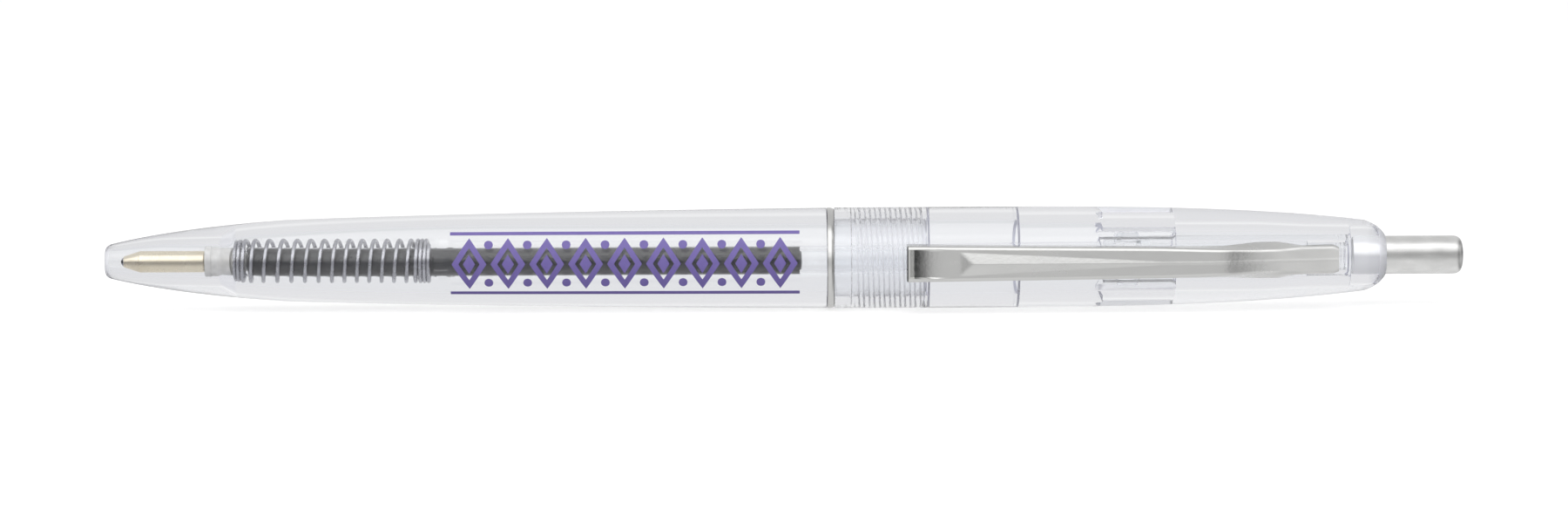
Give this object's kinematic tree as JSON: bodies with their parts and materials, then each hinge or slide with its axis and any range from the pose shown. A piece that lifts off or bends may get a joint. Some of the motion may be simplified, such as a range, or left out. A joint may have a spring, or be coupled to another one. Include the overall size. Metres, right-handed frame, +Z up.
{
  "type": "pushbutton ballpoint pen",
  "caption": "Clear plastic pushbutton ballpoint pen with a plated pocket clip, screwed barrels, trim ring, return spring and click mechanism.",
  "frame": {"origin": "middle of the base of the box round the pen, which lies on its side", "axes": "+X along the pen from the nose to the button, -Y towards the clip, +Z up"},
  "size_m": [0.14, 0.0126, 0.0104],
  "materials": {
    "clear_plastic": "clear, glossy, moulded",
    "bright_plate": "nickel-chrome plated steel, bright",
    "spring_steel": "drawn wire, bright",
    "nickel_silver": "turned nickel silver, pale gold",
    "pale_socket": "translucent white, moulded",
    "tube_plastic": "clear, extruded",
    "ink": "dark paste ink"
  },
  "bodies": {
    "upper": {"upper_barrel": "clear_plastic"},
    "clip": {"pocket_clip": "bright_plate"},
    "button": {"button_cap": "bright_plate", "button_plunger": "clear_plastic"},
    "refill": {"rotary_cam": "clear_plastic", "refill_tube": "tube_plastic", "ink_column": "ink", "tip_socket": "pale_socket", "tip_body": "nickel_silver"},
    "ball": {"writing_ball": "spring_steel"},
    "ring": {"trim_ring": "bright_plate"},
    "lower": {"lower_barrel": "clear_plastic", "return_spring": "spring_steel"}
  },
  "joints": [
    {"name": "clip_flex", "type": "hinge", "parent": "upper", "child": "clip", "pos_m": [0.0572, -0.0021, 0.0052], "axis": [0, 0, 1], "range_deg": [0, 4], "stiffness_Nm_per_rad": 0.4},
    {"name": "button_press", "type": "slide", "parent": "upper", "child": "button", "axis": [-1, 0, 0], "range_m": [0, 0.0058], "stiffness_N_per_m": 250, "springref_m": -0.004},
    {"name": "refill_advance", "type": "slide", "parent": "upper", "child": "refill", "axis": [-1, 0, 0], "range_m": [0, 0.0058], "deforming": ["return_spring"]},
    {"name": "ball_roll", "type": "hinge", "parent": "refill", "child": "ball", "pos_m": [-0.06785, 0.0011, 0.0052], "axis": [0, 1, 0], "continuous": true},
    {"name": "thread_advance", "type": "slide", "parent": "upper", "child": "ring", "axis": [-1, 0, 0], "range_m": [0, 0.00693]},
    {"name": "barrel_unscrew", "type": "hinge", "parent": "ring", "child": "lower", "pos_m": [0.0044, 0.0011, 0.0052], "axis": [-1, 0, 0], "range_deg": [0, 2376]}
  ],
  "couplings": [
    {"joint": "refill_advance", "follows": "button_press", "ratio": 1},
    {"joint": "barrel_unscrew", "follows": "thread_advance", "rad_per_m": 5984}
  ]
}
